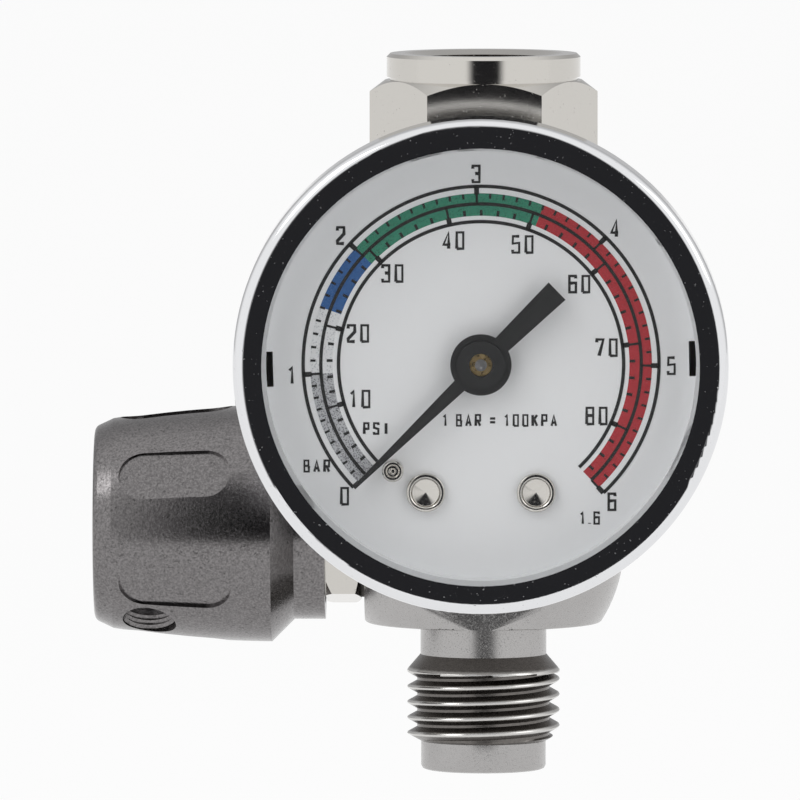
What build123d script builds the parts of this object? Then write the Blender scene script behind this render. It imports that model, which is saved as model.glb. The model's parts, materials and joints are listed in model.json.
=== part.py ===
from build123d import *
import os
from math import acos, asin, cos, degrees, pi, radians, sin, sqrt, tan

# In-line air pressure regulator with a dial gauge, millimetres.
# Z is the flow axis: air enters the male thread at the bottom and leaves through the swivel nut at
# the top. The gauge faces -Y and the adjusting knob points to -X. The origin is on the flow axis,
# at the upper end of the inlet thread, which is as far as a hose fitting screws on.

# ---------------------------------------------------------------- driving sizes

# pipe thread G 1/4, 55 degree form
pipe_major = 13.157 / 2
pipe_pitch = 1.337
pipe_depth = 0.640327 * pipe_pitch
inlet_turns = 5
outlet_turns = 5

# body, turned about the flow axis
ball_radius = 12.1
ball_height = 10.0
ball_bottom = 3.35
shaft_radius = 8.8
shaft_top = 37.2
shaft_chamfer = 0.8
ball_fillet = 0.4
neck_radius = 10.85 / 2
neck_lead = 0.6
nose_radius = 10.75 / 2
nose_length = 1.8
nose_lead = 0.65
nose_round = 0.5
inlet_bore = 3.3
inlet_bore_top = 3.5
outlet_bore = 2.5

# side ports of the body
knob_height = 11.85
knob_port_x = -10.2
knob_boss_radius = 7.0
gauge_height = 27.1
gauge_port_y = -9.9
gauge_boss_radius = 7.2
gauge_hole_depth = 6.0
sense_bore = 1.25
passage_radius = 1.6
passage_start_x = 1.6
passage_start_z = 2.0

# clearances
thread_gap = 0.03
slide_gap = 0.05
pivot_gap = 0.03
seat_gap = 0.02

# valve, from the blind end of its chamber towards the knob
end_wall = 1.6
poppet_bore = 3.1
poppet_radius = 2.6
poppet_length = 2.0
poppet_stem = 0.8
poppet_pilot = 1.4
poppet_pilot_length = 0.8
poppet_spring_length = 3.0
poppet_spring_wire = 0.22
poppet_spring_turns = 4
poppet_seal_depth = 0.6
poppet_seal_inner = 1.2
poppet_seal_outer = 2.4
valve_lift = 1.0
seat_radius = 3.9
seat_hole = 1.8
seat_length = 2.5
seat_lip = 0.25
seat_lip_length = 0.3
chamber_gap = 1.9
piston_bore = 5.0
piston_length = 3.9
piston_pocket = 4.2
piston_pocket_depth = 0.9
seal_wire = 0.48
seal_groove = 1.3
piston_run_out = 0.7

# bonnet, spring and adjusting screw
bonnet_flats = 13.0
bonnet_turn = 50
bonnet_hex_length = 3.0
bonnet_chamfer = 0.5
bonnet_spigot = 6.0
bonnet_sleeve = 6.4
bonnet_sleeve_length = 10.5
bonnet_bore = 4.2
bonnet_seal_thickness = 0.3
bonnet_seal_radius = 6.35
screw_radius = 3.0
screw_thread_length = 7.0
screw_tip = 2.2
screw_tip_length = 0.9
button_length = 1.3
button_radius = 3.9
button_pilot = 2.4
button_pilot_length = 1.1
spring_radius = 3.25
spring_wire = 0.5
spring_turns = 4.5

# knob
knob_left = -33.5
knob_gap = 0.1
knob_face_radius = 8.3
knob_band_radius = 9.05
knob_band_length = 1.6
knob_crown_radius = 9.85
knob_crown_x = -25.5
knob_skirt_radius = 10.2
knob_skirt_x = -18.2
knob_collar_radius = 8.25
knob_edge_round = 0.7
knob_bore_gap = 0.5
knob_floor_x = -26.5
screw_end_wall = 2.0
recess_count = 6
recess_length = 9.7
recess_width = 4.4
recess_depth = 0.5
recess_middle_x = -26.4
set_screw_x = -28.7
set_screw_side = 240
set_screw_radius = 2.3
set_screw_length = 4.2
set_screw_socket = 2.5

# swivel nut and the tail it turns on
nut_top = 52.45
nut_collar_radius = 16.7 / 2
nut_collar_length = 2.0
nut_groove = 0.3
nut_groove_depth = 0.25
nut_flats = 17.0
nut_bottom = 38.45
nut_turn = 1.0
nut_corner_drop = 1.0
nut_lead = 0.5
nut_lip = 2.15
tail_neck = 5.05
tail_spigot = 4.4
tail_spigot_length = 3.6
tail_flange = 5.5
tail_flange_length = 2.55
tail_socket_flats = 5.4
tail_socket_depth = 3.0
tail_sunk = 0.8
tail_seal_thickness = 0.4
nut_seal_thickness = 1.5
nut_seal_inner = 3.3

# gauge, sizes forward of the flow axis are "fronts"
bezel_radius = 21.0
gauge_depth = 15.9
bezel_length = 7.5
bezel_round = 0.95
bezel_lip = 0.8
bezel_wall = 1.0
window_radius = 18.55
lens_thickness = 1.6
case_wall = 0.6
case_gap = 0.1
case_corner = 1.5
case_back_hole = 7.05
gasket_height = 2.6
gasket_wall = 1.0
dial_thickness = 0.4
dial_hole = 1.3
dial_gap = 0.4
dial_turn = 1.5
dial_notch_depth = 0.6
dial_notch_length = 3.0
gauge_seal_thickness = 0.8
gauge_hex_flats = 12.0
gauge_hex_length = 2.0
gauge_stem = 9.728 / 2
gauge_stem_reach = 5.3
gauge_stem_bore = 1.0
block_edge = 0.2121
block_top = 4.5
lug_joint = 0.1
block_thickness = 3.8
post_radius = 1.6
post_side = 23.2
post_gap = 0.2
dial_screw_radius = 1.65
dial_screw_cup = 1.2
dial_screw_height = 0.6
dial_screw_shank = 0.7
dial_screw_depth = 3.0
tube_width = 4.4
tube_height = 1.6
tube_wall = 0.25
tube_margin = 4.8
tube_start = -100
tube_sweep = 250
tube_end_plug = 9
tube_clear = 0.1
lug_wall = 0.8
tip_pin_radius = 0.4

# movement of the gauge
plate_left = -8.0
plate_right = 8.5
plate_low = -8.8
plate_high = 6.5
plate_thickness = 0.8
plate_spacing = 3.6
pillar_radius = 0.9
pillar_places = [(-6.3, 4.8), (-6.3, -7.0), (6.9, 4.8)]
plate_screw_places = [(-4.4, -3.6), (-4.4, 2.2)]
plate_screw_radius = 1.1
plate_screw_head = 0.5
arbor_radius = 0.5
tooth_module = 0.2
pinion_teeth = 10
sector_teeth = 70
sector_side = 130.4
pressure_angle = 20
backlash = 0.06
pinion_addendum = 0.2
sector_addendum = 0.12
root_clearance = 0.06
sector_thickness = 0.6
sector_front = 2.0
sector_arc = 52
sector_lead = 6.5
sector_hub = 1.3
sector_tail = 3.55
tail_width = 1.6
link_thickness = 0.35
link_gap = 0.1
link_width = 1.3
link_pin = 0.35
hairspring_turns = 3
hairspring_start = 0.8
hairspring_pitch = 0.62
hairspring_thickness = 0.1
hairspring_width = 0.4
hairspring_gap = 0.25

# pointer
pointer_zero = 224.2
pointer_height = 1.1
pointer_thickness = 0.35
pointer_length = 15.0
pointer_width = 1.37
pointer_tip = 0.3
pointer_tail = 9.0
pointer_tail_width = 2.05
pointer_hub = 2.6
pointer_boss = 2.05
pointer_boss_height = 0.3
arbor_proud = 0.1
pointer_recess = 0.98
bush_radius = 0.95
stop_pin_radius = 0.92
stop_pin_place = 11.7
stop_pin_height = 2.1
stop_gap = 0.06

# ---------------------------------------------------------------- places that follow

pipe_minor = pipe_major - pipe_depth
flank = pipe_depth * tan(radians(27.5))
crest = (pipe_pitch - 2 * flank) / 2
inlet_thread_end = -(inlet_turns * pipe_pitch + crest)
nose_end = inlet_thread_end - nose_lead - nose_length

axis_rise = knob_height - ball_height
chamber_end = sqrt(ball_radius**2 - (axis_rise + poppet_bore) ** 2) - end_wall
poppet_back = chamber_end - poppet_spring_length
poppet_face = poppet_back - poppet_length
seat_back = poppet_face - valve_lift
seat_front = seat_back - seat_length
piston_face = seat_front - chamber_gap
piston_back = piston_face - piston_length
bonnet_end = piston_back - valve_lift - piston_run_out
bonnet_face = knob_port_x - bonnet_seal_thickness
knob_right = bonnet_face - bonnet_hex_length - knob_gap
sleeve_end = bonnet_face - bonnet_hex_length - bonnet_sleeve_length
screw_thread_start = sleeve_end + screw_thread_length
spring_seat = piston_back + piston_pocket_depth
spring_left = spring_seat - 2 * spring_wire * (spring_turns + 1.4)
button_left = spring_left - button_length
screw_left = knob_left + screw_end_wall
knob_bore = bonnet_sleeve + knob_bore_gap

nut_thread_bottom = nut_top - nut_lead - outlet_turns * pipe_pitch - crest
lip_top = nut_bottom + nut_lip
tail_bottom = shaft_top - tail_sunk - tail_spigot_length
flange_bottom = lip_top + slide_gap
flange_top = flange_bottom + tail_flange_length

block_back = -gauge_port_y + gauge_seal_thickness + gauge_hex_length
case_back = block_back - case_wall
gauge_front = case_back + gauge_depth
lens_front = gauge_front - bezel_lip
lens_back = lens_front - lens_thickness
dial_front = lens_back - gasket_height
dial_back = dial_front - dial_thickness
bezel_back = gauge_front - bezel_length
case_radius = bezel_radius - bezel_wall - case_gap
case_inner = case_radius - case_wall
lens_radius = case_inner - case_gap
gasket_outer = case_inner - case_gap / 2
block_front = block_back + block_thickness
tube_radius = case_inner - tube_margin
tube_middle = block_front + tube_width / 2 + tube_clear
lug_inner = tube_radius - lug_wall - tube_height / 2
lug_outer = tube_radius + lug_wall + tube_height / 2
post_place = tube_radius - tube_height / 2 - post_radius - post_gap
block_half = post_place * sin(radians(post_side)) + post_radius + block_edge
block_bottom = -lug_inner - lug_joint
dial_radius = case_inner - dial_gap
back_plate_front = block_front + plate_thickness
front_plate_back = back_plate_front + plate_spacing
front_plate_front = front_plate_back + plate_thickness
sector_back = block_front + sector_front
gear_spacing = tooth_module * (pinion_teeth + sector_teeth) / 2
sector_x = -gear_spacing * cos(radians(sector_side))
sector_y = -gear_spacing * sin(radians(sector_side))
link_back = sector_back + sector_thickness + link_gap
hairspring_back = link_back + link_thickness + hairspring_gap
pointer_back = dial_front + pointer_height
pointer_front = pointer_back + pointer_thickness
arbor_front = pointer_front + pointer_boss_height + arbor_proud

KNOB = Plane(origin=(0, 0, knob_height), x_dir=(0, 1, 0), z_dir=(1, 0, 0))
GAUGE = Plane(origin=(0, 0, gauge_height), x_dir=(1, 0, 0), z_dir=(0, -1, 0))


# ---------------------------------------------------------------- shapes used by several pieces


def turned(outline):
    """Solid turned about Z from an outline drawn as (radius, height)."""
    return revolve(Plane.XZ * make_face(outline), Axis.Z)


def lathe(*corners):
    """Solid turned about Z from straight (radius, height) corners."""
    return turned(Polyline(*corners, close=True))


def rod(radius, low, high):
    """Round rod along Z."""
    return Pos(0, 0, low) * Cylinder(radius, high - low, align=(Align.CENTER, Align.CENTER, Align.MIN))


def ring(outer, inner, low, high):
    """Flat ring along Z."""
    return rod(outer, low, high) - rod(inner, low, high)


def o_ring(middle, wire, height):
    """Round-section ring about Z."""
    return Pos(0, 0, height) * Torus(middle, wire)


def hexagon(flats, low, high, turn=0):
    """Six-sided bar along Z, with a corner at the angle turn."""
    outline = RegularPolygon(flats / sqrt(3), 6, rotation=turn)
    return extrude(Pos(0, 0, low) * outline, high - low)


def block(x_low, x_high, y_low, y_high, low, high):
    """Rectangular bar along Z."""
    size = (x_high - x_low, y_high - y_low, high - low)
    return Pos((x_low + x_high) / 2, (y_low + y_high) / 2, (low + high) / 2) * Box(*size)


def polar(radius, angle):
    """Point at an angle in degrees, counter-clockwise from X."""
    return (radius * cos(radians(angle)), radius * sin(radians(angle)))


def thread_corners(top, turns):
    """Corners of the pipe thread's form as rings, from its top crest downwards."""
    corners = []
    for turn in range(turns):
        start = top - turn * pipe_pitch
        corners.append((pipe_major, start))
        corners.append((pipe_major, start - crest))
        corners.append((pipe_minor, start - crest - flank))
        corners.append((pipe_minor, start - 2 * crest - flank))
    corners.append((pipe_major, top - turns * pipe_pitch))
    corners.append((pipe_major, top - turns * pipe_pitch - crest))
    return corners


def coil(radius, wire, low, high, turns):
    """Round-wire compression spring along Z, its wire inside low and high."""
    length = high - low - 2 * wire
    path = Pos(0, 0, low + wire) * Helix(length / turns, length, radius)
    section = Plane(path @ 0, z_dir=path % 0) * Circle(wire)
    return sweep(section, path=path, is_frenet=True)


# ---------------------------------------------------------------- body and valve


def regulator_body():
    """Ball with the inlet stem below, the outlet shaft above and a port on two sides."""
    edge = sqrt(ball_radius**2 - (ball_height - ball_bottom) ** 2)
    shoulder = ball_height + sqrt(ball_radius**2 - shaft_radius**2)
    stem = Polyline(
        (shaft_radius, shoulder),
        (shaft_radius, shaft_top - shaft_chamfer),
        (shaft_radius - shaft_chamfer, shaft_top),
        (0, shaft_top),
        (0, nose_end),
        (nose_radius - nose_round, nose_end),
        (nose_radius, nose_end + nose_round),
        (nose_radius, inlet_thread_end - nose_lead),
        *reversed(thread_corners(0, inlet_turns)),
        (neck_radius, neck_lead),
        (neck_radius, ball_bottom),
        (edge, ball_bottom),
    )
    side = ThreePointArc((edge, ball_bottom), (ball_radius, ball_height), (shaft_radius, shoulder))
    body = turned(stem + side)
    bottom_edge = body.edges().filter_by(GeomType.CIRCLE).filter_by(
        lambda e: abs(e.center().Z - ball_bottom) < 0.01 and e.radius > neck_radius + 1
    )
    body = fillet(bottom_edge, ball_fillet)
    body += KNOB * rod(knob_boss_radius, knob_port_x, 0)
    body += GAUGE * rod(gauge_boss_radius, 0, -gauge_port_y)
    far = 2 * ball_radius
    body -= block(-far, far, -far, gauge_port_y, ball_bottom, shaft_top)
    body -= block(-far, knob_port_x, -far, far, ball_bottom, shaft_top)
    body -= rod(inlet_bore, nose_end, inlet_bore_top)
    body -= rod(outlet_bore, knob_height, shaft_top)
    body -= rod(tail_spigot + thread_gap, tail_bottom, shaft_top)
    body -= rod(tail_neck + slide_gap, shaft_top - tail_sunk - tail_seal_thickness, shaft_top)
    body -= KNOB * rod(bonnet_spigot + thread_gap, knob_port_x, bonnet_end)
    body -= KNOB * rod(piston_bore, bonnet_end, piston_face + chamber_gap - seat_gap)
    body -= KNOB * rod(seat_radius + thread_gap, seat_front - seat_gap, seat_back)
    body -= KNOB * rod(poppet_bore, seat_back, chamber_end)
    body -= GAUGE * rod(gauge_stem + thread_gap, -gauge_port_y - gauge_hole_depth, -gauge_port_y)
    body -= GAUGE * rod(sense_bore, 0, -gauge_port_y)
    rise = knob_height - poppet_radius / 2 - passage_start_z
    run = poppet_back - passage_start_x
    slope = Plane(origin=(passage_start_x, 0, passage_start_z), z_dir=(run, 0, rise))
    return body - slope * rod(passage_radius, 0, sqrt(rise**2 + run**2))


def valve_seat():
    """Screwed-in seat ring with a raised lip towards the poppet."""
    lip = seat_hole + seat_lip
    return KNOB * lathe(
        (seat_hole, seat_front),
        (seat_radius, seat_front),
        (seat_radius, seat_back - seat_lip_length),
        (lip, seat_back - seat_lip_length),
        (lip, seat_back),
        (seat_hole, seat_back),
    )


def poppet():
    """Valve disc with its push stem, a pocket for the seal and a pilot for the spring."""
    disc = rod(poppet_radius, poppet_face, poppet_back)
    pocket = ring(poppet_seal_outer, poppet_seal_inner, poppet_face, poppet_face + poppet_seal_depth)
    stem = rod(poppet_stem, piston_face + seat_gap, poppet_face)
    pilot = rod(poppet_pilot, poppet_back, poppet_back + poppet_pilot_length)
    return KNOB * (disc - pocket + stem + pilot)


def poppet_seal():
    """Rubber ring bonded into the poppet."""
    seal = ring(poppet_seal_outer, poppet_seal_inner, poppet_face, poppet_face + poppet_seal_depth)
    return KNOB * seal


def poppet_spring():
    """Light spring that closes the poppet."""
    middle = poppet_radius - poppet_spring_wire
    return KNOB * coil(middle, poppet_spring_wire, poppet_back, chamber_end, poppet_spring_turns)


def piston():
    """Sensing piston with a seal groove and a pocket for the main spring."""
    groove_low = (piston_face + piston_back) / 2 - seal_groove / 2
    radius = piston_bore - slide_gap
    disc = rod(radius, piston_back, piston_face)
    groove = ring(radius, piston_bore - 2 * seal_wire - slide_gap, groove_low, groove_low + seal_groove)
    pocket = rod(piston_pocket, piston_back, piston_back + piston_pocket_depth)
    return KNOB * (disc - groove - pocket)


def piston_seal():
    """O-ring of the piston."""
    middle = piston_bore - seal_wire - slide_gap / 2
    return KNOB * o_ring(middle, seal_wire, (piston_face + piston_back) / 2)


# ---------------------------------------------------------------- bonnet, spring and knob


def bonnet():
    """Six-sided spring housing with a spigot into the body and a sleeve inside the knob."""
    hex_left = bonnet_face - bonnet_hex_length
    corner = bonnet_flats / sqrt(3)
    limit = lathe(
        (0, hex_left),
        (corner - bonnet_chamfer, hex_left),
        (corner, hex_left + bonnet_chamfer),
        (corner, bonnet_face - bonnet_chamfer),
        (corner - 2 * bonnet_chamfer, bonnet_face),
        (0, bonnet_face),
    )
    housing = hexagon(bonnet_flats, hex_left, bonnet_face, bonnet_turn) & limit
    housing += rod(bonnet_spigot, bonnet_face, bonnet_end)
    housing += rod(bonnet_sleeve, sleeve_end, hex_left)
    housing -= rod(bonnet_bore, screw_thread_start, bonnet_end)
    housing -= rod(screw_radius + slide_gap, sleeve_end, screw_thread_start)
    return KNOB * housing


def bonnet_seal():
    """Thin washer between the bonnet and the body."""
    return KNOB * ring(bonnet_seal_radius, bonnet_spigot + thread_gap, bonnet_face, knob_port_x)


def main_spring():
    """Spring that sets the outlet pressure."""
    return KNOB * coil(spring_radius, spring_wire, spring_left, spring_seat, spring_turns)


def spring_button():
    """Disc that carries the spring on the end of the adjusting screw without turning."""
    disc = rod(button_radius, button_left, spring_left)
    pilot = rod(button_pilot, spring_left, spring_left + button_pilot_length)
    return KNOB * (disc + pilot)


def adjusting_screw():
    """Screw that the knob turns: thread in the bonnet, reduced tip on the button."""
    tip_left = button_left - seat_gap - screw_tip_length
    shank = rod(screw_radius, screw_left, tip_left)
    return KNOB * (shank + rod(screw_tip, tip_left, tip_left + screw_tip_length))


def set_screw_axis():
    """The set screw's own axis, measured out from the knob's axis."""
    return Plane(origin=(0, 0, set_screw_x), x_dir=(0, 0, 1), z_dir=(*polar(1, set_screw_side), 0))


def adjusting_knob():
    """Crowned knob with grip recesses, a collar, the sleeve's bore and the set screw's hole."""
    outline = Polyline(
        (knob_skirt_radius, knob_skirt_x),
        (knob_collar_radius, knob_skirt_x + knob_skirt_radius - knob_collar_radius),
        (knob_collar_radius, knob_right),
        (knob_bore, knob_right),
        (knob_bore, knob_floor_x),
        (screw_radius + thread_gap, knob_floor_x),
        (screw_radius + thread_gap, screw_left),
        (0, screw_left),
        (0, knob_left),
        (knob_face_radius, knob_left),
        (knob_band_radius, knob_left + knob_band_length),
    )
    crown = ThreePointArc(
        (knob_band_radius, knob_left + knob_band_length),
        (knob_crown_radius, knob_crown_x),
        (knob_skirt_radius, knob_skirt_x),
    )
    knob = turned(outline + crown)
    face_edge = knob.edges().filter_by(GeomType.CIRCLE).filter_by(
        lambda e: abs(e.center().Z - knob_left) < 0.01 and e.radius > knob_face_radius - 0.01
    )
    knob = fillet(face_edge, knob_edge_round)
    for number in range(recess_count):
        knob -= Rot(0, 0, 30 + number * 360 / recess_count) * grip_recess()
    knob -= set_screw_axis() * rod(set_screw_radius, 0, 2 * knob_skirt_radius)
    return KNOB * knob


def grip_recess():
    """Round-ended pocket cutter on the knob's side, its floor following the crown's slope."""
    start = knob_left + knob_band_length
    slope = asin((knob_skirt_radius - knob_band_radius) / (knob_skirt_x - start))
    middle = knob_band_radius + (recess_middle_x - start) * tan(slope)
    bulge = (knob_crown_radius - middle) / 2
    floor = middle + bulge - recess_depth
    along = (sin(slope), 0, cos(slope))
    outward = (cos(slope), 0, -sin(slope))
    side = Plane(origin=(floor, 0, recess_middle_x), x_dir=along, z_dir=outward)
    return side * extrude(SlotOverall(recess_length, recess_width), 3 * recess_width)


def set_screw():
    """Headless screw that clamps the knob to the adjusting screw."""
    inner = screw_radius + seat_gap
    outer = inner + set_screw_length
    screw = rod(set_screw_radius - thread_gap, inner, outer)
    socket = hexagon(set_screw_socket, outer - set_screw_length / 2, outer)
    return KNOB * set_screw_axis() * (screw - socket)


# ---------------------------------------------------------------- swivel nut and tail


def outlet_tail():
    """Nipple screwed into the body, with the flange that the nut pulls on."""
    tail = rod(tail_spigot, tail_bottom, shaft_top - tail_sunk)
    tail += rod(tail_neck, shaft_top - tail_sunk, flange_bottom)
    tail += rod(tail_flange, flange_bottom, flange_top)
    tail -= rod(outlet_bore, tail_bottom, flange_top)
    return tail - hexagon(tail_socket_flats, flange_top - tail_socket_depth, flange_top)


def tail_seal():
    """Copper washer under the tail's shoulder."""
    top = shaft_top - tail_sunk
    return ring(tail_neck, tail_spigot + slide_gap, top - tail_seal_thickness, top)


def nut_seal():
    """Flat rubber washer on the tail's flange, which seals the fitting above."""
    return ring(tail_flange, nut_seal_inner, flange_top, flange_top + nut_seal_thickness)


def swivel_nut():
    """Six-sided nut with a round collar on top and a female pipe thread."""
    corner = nut_flats / sqrt(3)
    hex_top = nut_top - nut_collar_length
    collar = rod(nut_collar_radius, hex_top, nut_top)
    collar = chamfer(collar.edges().group_by(Axis.Z)[-1], nut_groove)
    limit = lathe(
        (0, nut_bottom),
        (nut_flats / 2, nut_bottom),
        (corner, nut_bottom + nut_corner_drop),
        (corner, hex_top - nut_groove - nut_corner_drop),
        (nut_flats / 2, hex_top - nut_groove),
        (nut_collar_radius - nut_groove_depth, hex_top - nut_groove),
        (nut_collar_radius - nut_groove_depth, hex_top),
        (0, hex_top),
    )
    nut = (hexagon(nut_flats, nut_bottom, hex_top, nut_turn) & limit) + collar
    tap_top = nut_top - nut_lead
    tap = lathe(
        (0, nut_top),
        (pipe_major + nut_lead / 2, nut_top),
        (pipe_minor, tap_top + nut_lead / 5),
        *[(tap_radius(radius), height) for radius, height in thread_corners(tap_top, outlet_turns)],
        (pipe_major + slide_gap, nut_thread_bottom - flank),
        (pipe_major + slide_gap, lip_top),
        (tail_neck + slide_gap, lip_top),
        (tail_neck + slide_gap, nut_bottom),
        (0, nut_bottom),
    )
    return nut - tap


def tap_radius(radius):
    """A female thread has its crests where the male one has its roots."""
    return pipe_major + pipe_minor - radius


# ---------------------------------------------------------------- gauge


def gauge_seal():
    """Washer between the gauge and the body."""
    front = -gauge_port_y + gauge_seal_thickness
    return GAUGE * ring(gauge_hex_flats / 2, gauge_stem + slide_gap, -gauge_port_y, front)


def gauge_socket():
    """Brass stem, hexagon and block that carry the tube, the movement and the dial."""
    seal_front = -gauge_port_y + gauge_seal_thickness
    socket = rod(gauge_stem, seal_front - gauge_stem_reach, seal_front)
    socket += hexagon(gauge_hex_flats, seal_front, block_back)
    socket += block(-block_half, block_half, block_bottom, block_top, block_back, block_front)
    lug_front = tube_middle + tube_width / 2 + lug_wall / 2
    socket += arc_bar(lug_inner, lug_outer, block_back, lug_front, tube_start, -2 * (tube_start + 90))
    for side in (-1, 1):
        post = Pos(*polar(post_place, -90 + side * post_side), 0)
        socket += post * rod(post_radius, block_back, dial_back)
        socket -= post * rod(dial_screw_shank + thread_gap, dial_back - dial_screw_depth, dial_back)
    socket -= rod(gauge_stem_bore, 0, block_back + block_thickness / 2)
    for x, y in plate_screw_places:
        socket -= Pos(x, y, 0) * rod(plate_screw_radius / 2 + thread_gap, block_back, block_front)
    return GAUGE * socket


def arc_bar(inner, outer, low, high, start, sweep_angle):
    """Part of a ring about Z, from the angle start counter-clockwise."""
    outline = Polyline((inner, low), (outer, low), (outer, high), (inner, high), close=True)
    return Rot(0, 0, start) * revolve(Plane.XZ * make_face(outline), Axis.Z, revolution_arc=sweep_angle)


def gauge_case():
    """Steel cup with a hole for the socket's hexagon."""
    cup = lathe(
        (case_back_hole, case_back),
        (case_radius - case_corner, case_back),
        (case_radius, case_back + case_corner),
        (case_radius, dial_front + 1),
        (case_inner, dial_front + 1),
        (case_inner, case_back + case_corner),
        (case_inner - case_corner, block_back),
        (case_back_hole, block_back),
    )
    return GAUGE * cup


def bezel():
    """Bright ring that holds the lens, rounded at its outer front edge."""
    step = dial_front + 1
    outline = Polyline(
        (bezel_radius, gauge_front - bezel_round),
        (bezel_radius, bezel_back + bezel_round),
        (bezel_radius - bezel_round / 2, bezel_back),
        (case_radius + case_gap, bezel_back),
        (case_radius + case_gap, step),
        (case_inner, step),
        (case_inner, lens_front),
        (window_radius, lens_front),
        (window_radius, gauge_front),
        (bezel_radius - bezel_round, gauge_front),
    )
    turn = bezel_round * (1 - sqrt(0.5))
    corner = ThreePointArc(
        (bezel_radius - bezel_round, gauge_front),
        (bezel_radius - turn, gauge_front - turn),
        (bezel_radius, gauge_front - bezel_round),
    )
    return GAUGE * turned(outline + corner)


def lens():
    """Clear disc behind the bezel's lip."""
    return GAUGE * rod(lens_radius, lens_back, lens_front)


def lens_gasket():
    """Black spacer ring between the lens and the dial."""
    return GAUGE * ring(gasket_outer, gasket_outer - gasket_wall, dial_front, lens_back)


def dial():
    """Printed disc with a centre hole, two notches and holes for its screws and stop pin."""
    plate = rod(dial_radius, dial_back, dial_front) - rod(dial_hole, dial_back, dial_front)
    notch_inner = gasket_outer - gasket_wall - dial_notch_depth
    half = dial_notch_length / 2
    for turn in (0, 180):
        notch = block(notch_inner, dial_radius + 1, -half, half, dial_back, dial_front)
        plate -= Rot(0, 0, turn + dial_turn) * notch
    for side in (-1, 1):
        hole = Pos(*polar(post_place, -90 + side * post_side), 0)
        plate -= hole * rod(dial_screw_shank + thread_gap, dial_back, dial_front)
    return GAUGE * (plate - stop_pin_axis() * rod(stop_pin_radius / 2 + seat_gap, dial_back, dial_front))


def dial_screws():
    """Two domed screws with a hollow head that hold the dial on the socket's posts."""
    screws = []
    for side in (-1, 1):
        screw = rod(dial_screw_shank, dial_back - dial_screw_depth, dial_front)
        head_top = dial_front + dial_screw_height
        screw += rod(dial_screw_radius, dial_front, head_top)
        screw -= rod(dial_screw_cup, head_top - dial_screw_height / 2, head_top)
        screws.append(GAUGE * Pos(*polar(post_place, -90 + side * post_side), 0) * screw)
    return Compound(screws)


def needle_half_width(place):
    """Half the pointer's width at a distance from its centre."""
    return (pointer_width + (pointer_tip - pointer_width) * place / pointer_length) / 2


def stop_pin_axis():
    """Where the pin stands so that the needle rests against it at zero."""
    reach = stop_pin_radius + needle_half_width(stop_pin_place) + stop_gap
    return Pos(*polar(stop_pin_place, pointer_zero + degrees(asin(reach / stop_pin_place))), 0)


def stop_pin():
    """Pin riveted to the dial."""
    pin = rod(stop_pin_radius, dial_front, dial_front + stop_pin_height)
    pin = fillet(pin.edges().group_by(Axis.Z)[-1], stop_pin_radius / 3)
    return GAUGE * stop_pin_axis() * (pin + rod(stop_pin_radius / 2, dial_back, dial_front))


def bourdon_tube():
    """Flattened tube bent to an arc, fixed in the socket at its start."""
    low = tube_middle - tube_width / 2
    high = tube_middle + tube_width / 2
    inner = tube_radius - tube_height / 2
    outer = tube_radius + tube_height / 2
    tube = arc_bar(inner, outer, low, high, tube_start - tube_sweep, tube_sweep)
    hollow = (inner + tube_wall, outer - tube_wall, low + tube_wall, high - tube_wall)
    return GAUGE * (tube - arc_bar(*hollow, tube_start - tube_sweep, tube_sweep))


def bourdon_tip():
    """Plug that closes the tube's free end, with the pin for the link."""
    end = tube_start - tube_sweep
    tab_front = link_back - 0.1
    tip = arc_bar(
        tube_radius - tube_height / 2,
        tube_radius + tube_height / 2,
        tab_front - sector_thickness,
        tab_front,
        end - tube_end_plug,
        tube_end_plug,
    )
    pin = Pos(*tip_place(), 0) * rod(tip_pin_radius, tab_front, link_back + link_thickness)
    return GAUGE * (tip + pin)


def tip_place():
    """The pin on the tube's free end."""
    return polar(tube_radius, tube_start - tube_sweep - 0.7 * tube_end_plug)


def plate(low, high):
    """One plate of the movement, with the holes that both plates share."""
    part = block(plate_left, plate_right, plate_low, plate_high, low, high)
    part = fillet(part.edges().filter_by(Axis.Z), pillar_radius)
    part -= rod(arbor_radius + pivot_gap, low, high)
    return part - Pos(sector_x, sector_y, 0) * rod(arbor_radius + pivot_gap, low, high)


def movement_back_plate():
    """Plate screwed to the socket."""
    part = plate(block_front, back_plate_front)
    for x, y in plate_screw_places:
        part -= Pos(x, y, 0) * rod(plate_screw_radius / 2 + thread_gap, block_front, back_plate_front)
    return GAUGE * part


def movement_front_plate():
    """Plate carried by the pillars."""
    return GAUGE * plate(front_plate_back, front_plate_front)


def movement_pillars():
    """Three spacers between the plates."""
    pillars = []
    for x, y in pillar_places:
        pillars.append(GAUGE * Pos(x, y, 0) * rod(pillar_radius, back_plate_front, front_plate_back))
    return Compound(pillars)


def movement_screws():
    """Two screws that hold the back plate on the socket."""
    screws = []
    for x, y in plate_screw_places:
        screw = rod(plate_screw_radius, back_plate_front, back_plate_front + plate_screw_head)
        screw += rod(plate_screw_radius / 2, block_back + 1, back_plate_front)
        screws.append(GAUGE * Pos(x, y, 0) * screw)
    return Compound(screws)


def tooth_flank(teeth, addendum, dedendum):
    """(radius, half angle) down one side of a tooth, from its tip to its root."""
    pitch_radius = tooth_module * teeth / 2
    base = pitch_radius * cos(radians(pressure_angle))
    thickness = pi * tooth_module / 2 - backlash
    start = thickness / (2 * pitch_radius) + involute(radians(pressure_angle))
    steps = 4
    points = []
    for step in range(steps + 1):
        radius = pitch_radius + addendum - (addendum + dedendum) * step / steps
        lean = involute(acos(base / radius)) if radius > base else 0
        points.append((radius, degrees(start - lean)))
    return points


def involute(angle):
    """The involute function."""
    return tan(angle) - angle


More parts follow.
